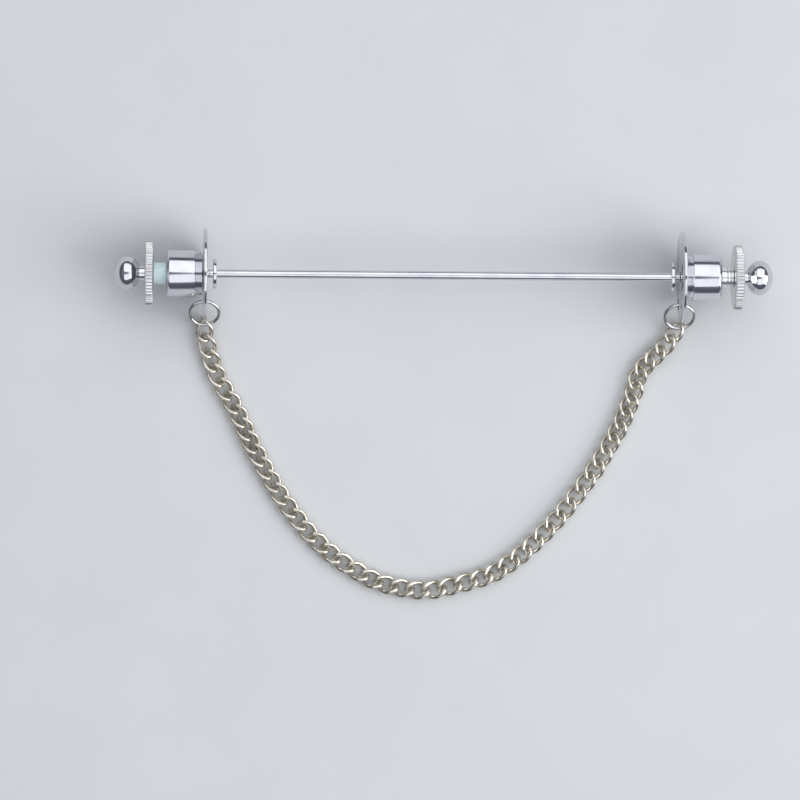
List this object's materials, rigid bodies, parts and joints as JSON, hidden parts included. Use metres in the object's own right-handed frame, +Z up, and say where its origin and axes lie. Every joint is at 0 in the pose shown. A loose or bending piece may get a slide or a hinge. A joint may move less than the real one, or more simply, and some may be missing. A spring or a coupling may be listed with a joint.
{
  "type": "collar bar",
  "caption": "Thin collar bar whose two ends unscrew, with discs, knurled thumb screws and ball ends, and a fine curb chain hung between the discs.",
  "frame": {"origin": "middle of the whole outline, on the surface that the discs and the chain rest on", "axes": "+X along the bar towards the right end, the chain lies towards -Y, +Z up"},
  "size_m": [0.066, 0.0372, 0.0091],
  "materials": {
    "polished_metal": "mirror polish",
    "ring_wire": "bright drawn wire",
    "chain_metal": "bright wire with a slightly warm tone",
    "pale_sleeve": "smooth, pale cyan, slightly translucent",
    "white_metal": "bright white metal"
  },
  "bodies": {
    "bar": {"bar": "polished_metal"},
    "left_disc": {"left_disc": "polished_metal"},
    "right_disc": {"right_disc": "polished_metal"},
    "left_spacer": {"left_barrel": "polished_metal", "left_sleeve": "pale_sleeve"},
    "right_spacer": {"right_barrel": "polished_metal", "right_sleeve": "white_metal"},
    "left_thumb": {"left_thumb_screw": "polished_metal"},
    "right_thumb": {"right_thumb_screw": "polished_metal"},
    "rings": {"left_ring": "ring_wire", "right_ring": "ring_wire"},
    "chain_top": {"link_01": "chain_metal", "link_02": "chain_metal", "link_03": "chain_metal", "link_04": "chain_metal", "link_05": "chain_metal", "link_06": "chain_metal", "link_07": "chain_metal", "link_08": "chain_metal", "link_09": "chain_metal", "link_40": "chain_metal", "link_41": "chain_metal", "link_42": "chain_metal", "link_43": "chain_metal", "link_44": "chain_metal", "link_45": "chain_metal", "link_46": "chain_metal", "link_47": "chain_metal", "link_48": "chain_metal", "link_49": "chain_metal"},
    "chain_middle": {"link_10": "chain_metal", "link_11": "chain_metal", "link_12": "chain_metal", "link_13": "chain_metal", "link_14": "chain_metal", "link_15": "chain_metal", "link_34": "chain_metal", "link_35": "chain_metal", "link_36": "chain_metal", "link_37": "chain_metal", "link_38": "chain_metal", "link_39": "chain_metal"},
    "chain_low": {"link_16": "chain_metal", "link_17": "chain_metal", "link_18": "chain_metal", "link_19": "chain_metal", "link_20": "chain_metal", "link_21": "chain_metal", "link_22": "chain_metal", "link_23": "chain_metal", "link_24": "chain_metal", "link_25": "chain_metal", "link_26": "chain_metal", "link_27": "chain_metal", "link_28": "chain_metal", "link_29": "chain_metal", "link_30": "chain_metal", "link_31": "chain_metal", "link_32": "chain_metal", "link_33": "chain_metal"}
  },
  "joints": [
    {"name": "left_disc_turn", "type": "hinge", "parent": "bar", "child": "left_disc", "pos_m": [-0.0239, 0.01404, 0.00455], "axis": [-1, 0, 0], "continuous": true},
    {"name": "right_disc_turn", "type": "hinge", "parent": "bar", "child": "right_disc", "pos_m": [0.0239, 0.01404, 0.00455], "axis": [-1, 0, 0], "continuous": true},
    {"name": "left_end_draw", "type": "slide", "parent": "bar", "child": "left_spacer", "axis": [-1, 0, 0], "range_m": [0, 0.0075]},
    {"name": "left_thumb_turn", "type": "hinge", "parent": "left_spacer", "child": "left_thumb", "pos_m": [-0.03, 0.01404, 0.00455], "axis": [-1, 0, 0], "range_deg": [0, 10810]},
    {"name": "right_end_draw", "type": "slide", "parent": "bar", "child": "right_spacer", "axis": [1, 0, 0], "range_m": [0, 0.0075]},
    {"name": "right_thumb_turn", "type": "hinge", "parent": "right_spacer", "child": "right_thumb", "pos_m": [0.03, 0.01404, 0.00455], "axis": [1, 0, 0], "range_deg": [0, 10810]},
    {"name": "ring_swing", "type": "hinge", "parent": "left_disc", "child": "rings", "pos_m": [0, 0.01129, 0.00265], "axis": [-1, 0, 0], "range_deg": [0, 60]},
    {"name": "chain_top_swing", "type": "hinge", "parent": "rings", "child": "chain_top", "pos_m": [0, 0.00898, 0.0008], "axis": [-1, 0, 0], "range_deg": [0, 20]},
    {"name": "chain_middle_swing", "type": "hinge", "parent": "chain_top", "child": "chain_middle", "pos_m": [0, -0.00342, 0.00056], "axis": [-1, 0, 0], "range_deg": [0, 15]},
    {"name": "chain_low_swing", "type": "hinge", "parent": "chain_middle", "child": "chain_low", "pos_m": [0, -0.01112, 0.00056], "axis": [-1, 0, 0], "range_deg": [0, 20]}
  ],
  "couplings": [
    {"joint": "right_disc_turn", "follows": "left_disc_turn", "ratio": 1},
    {"joint": "left_thumb_turn", "follows": "left_end_draw", "rad_per_m": 25133},
    {"joint": "right_thumb_turn", "follows": "right_end_draw", "rad_per_m": 25133}
  ]
}
